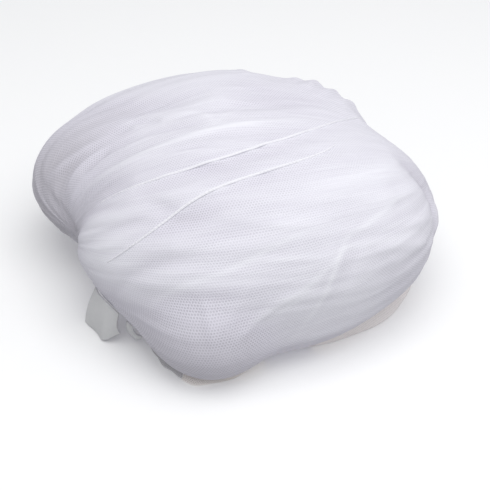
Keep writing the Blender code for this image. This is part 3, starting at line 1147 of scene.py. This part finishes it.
class NET_OT_under_folds(bpy.types.Operator):
    """Make the lowest folds of net that show round the foot"""

    bl_idname = "net.under_folds"
    bl_label = "Under Folds"

    def execute(self, context):
        sizes = context.scene.net_sizes
        for fold in UNDER_FOLDS:
            material = under_material(f"{fold.name}_net", sizes, fold.tint, fold.shade)
            rows = tucked_rows(STRIPS[fold.name], sizes)
            obj = strip_sheet(f"{fold.name}_cloth", rows, material)
            finish_piece(obj, "netting", fold.name)
        return {"FINISHED"}


CAMERA_ELEVATION = radians(35)
CAMERA_DISTANCE = 0.87  # from the heart
CAMERA_LENS = 83.08  # millimetres
CAMERA_SENSOR = 36  # millimetres
AIM_RIGHT = 0.0062  # how far to the right of the heart the camera aims
AIM_DOWN = 0.0323  # and how far below it, as the camera sees it
FLOOR_HALF = 4
KEY_PLACE = (0.16, -0.33, 1.25)
KEY_SIZE = 1.3


def towards(start, target):
    """The turn of a light or a camera at the start that looks at the target."""
    return (Vector(target) - Vector(start)).to_track_quat("-Z", "Y").to_euler()


class NET_OT_stage(bpy.types.Operator):
    """Make the floor, the lights and the camera"""

    bl_idname = "net.stage"
    bl_label = "Floor, Lights and Camera"

    def execute(self, context):
        scene, settings = context.scene, context.scene.net_stage
        self.make_floor(settings.floor)
        scene.world = bpy.data.worlds.new("studio")
        scene.world.use_nodes = True
        self.paint_sky(scene.world.node_tree, settings.sky)
        self.make_light(settings.key_power)
        scene.camera = self.make_camera()
        scene.view_settings.view_transform = "Standard"
        return {"FINISHED"}

    def add(self, name, data, place=(0, 0, 0), target=None):
        """A new object in the scene, turned to its target where it has one."""
        obj = bpy.data.objects.new(name, data)
        obj.location = place
        if target is not None:
            obj.rotation_euler = towards(place, target)
        bpy.context.scene.collection.objects.link(obj)
        return obj

    def make_floor(self, colour):
        shape = bmesh.new()
        bmesh.ops.create_grid(shape, x_segments=1, y_segments=1, size=FLOOR_HALF)
        mesh = bpy.data.meshes.new("floor")
        shape.to_mesh(mesh)
        shape.free()
        mesh.materials.append(floor_material(colour))
        floor = self.add("floor", mesh)
        floor.visible_diffuse = False  # so that it doesn't light the overhang from below

    def make_light(self, power):
        data = bpy.data.lights.new("key_light", "AREA")
        data.energy = power
        data.size = KEY_SIZE
        self.add("key_light", data, KEY_PLACE, HEART)

    def make_camera(self):
        data = bpy.data.cameras.new("camera")
        data.lens = CAMERA_LENS
        data.sensor_width = CAMERA_SENSOR
        data.clip_start = 0.01
        heart = Vector(HEART)
        up = Vector((0, sin(CAMERA_ELEVATION), cos(CAMERA_ELEVATION)))
        back = Vector((0, -cos(CAMERA_ELEVATION), sin(CAMERA_ELEVATION)))
        aim = heart + Vector((AIM_RIGHT, 0, 0)) - up * AIM_DOWN
        return self.add("camera", data, heart + back * CAMERA_DISTANCE, aim)

    def paint_sky(self, tree, strength):
        """A white sky, a little dimmer on the left than on the right, and below."""
        background = tree.nodes["Background"]
        background.inputs["Color"].default_value = (0.97, 0.98, 1.0, 1)
        place, parts = tree.nodes.new("ShaderNodeTexCoord"), tree.nodes.new("ShaderNodeSeparateXYZ")
        side, rise, both = (tree.nodes.new(f"ShaderNode{kind}") for kind in ("MapRange", "MapRange", "Math"))
        both.operation = "MULTIPLY"
        ranges = ((side, -1, 1, 0.90 * strength, 1.10 * strength), (rise, -0.1, 0.3, 0.95, 1))
        for node, *ends in ranges:
            for socket, value in zip(("From Min", "From Max", "To Min", "To Max"), ends):
                node.inputs[socket].default_value = value
        tree.links.new(place.outputs["Generated"], parts.inputs[0])
        tree.links.new(parts.outputs[0], side.inputs["Value"])
        tree.links.new(parts.outputs[2], rise.inputs["Value"])
        tree.links.new(side.outputs[0], both.inputs[0])
        tree.links.new(rise.outputs[0], both.inputs[1])
        tree.links.new(both.outputs[0], background.inputs["Strength"])


class NET_PT_panel(bpy.types.Panel):
    """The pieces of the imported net, their sizes and their colours"""

    bl_label = "Packed Net"
    bl_idname = "NET_PT_panel"
    bl_space_type = "VIEW_3D"
    bl_region_type = "UI"
    bl_category = "Packed Net"

    def draw(self, context):
        layout, scene = self.layout, context.scene
        groups = (("Sizes", scene.net_sizes), ("Colours", scene.net_colours), ("Stage", scene.net_stage))
        for title, group in groups:
            box = layout.box()
            box.label(text=title)
            for name in group.bl_rna.properties.keys():
                if name not in ("rna_type", "name"):
                    box.prop(group, name)
        for operator in OPERATORS:
            layout.operator(operator.bl_idname)


OPERATORS = (NET_OT_stage, NET_OT_layers, NET_OT_seams, NET_OT_wrap, NET_OT_loose_ends, NET_OT_under_folds)
GROUPS = {"net_sizes": NetSizes, "net_colours": NetColours, "net_stage": StageSettings}


def register():
    for made in (*GROUPS.values(), *OPERATORS, NET_PT_panel):
        bpy.utils.register_class(made)
    for name, group in GROUPS.items():
        setattr(bpy.types.Scene, name, PointerProperty(type=group))


def unregister():
    for name in GROUPS:
        delattr(bpy.types.Scene, name)
    for made in (NET_PT_panel, *reversed(OPERATORS), *reversed(GROUPS.values())):
        bpy.utils.unregister_class(made)


def main():
    register()
    bpy.ops.net.stage()
    bpy.ops.net.layers()
    bpy.ops.net.seams()
    bpy.ops.net.wrap()
    bpy.ops.net.loose_ends()
    bpy.ops.net.under_folds()


if __name__ == "__main__":
    main()
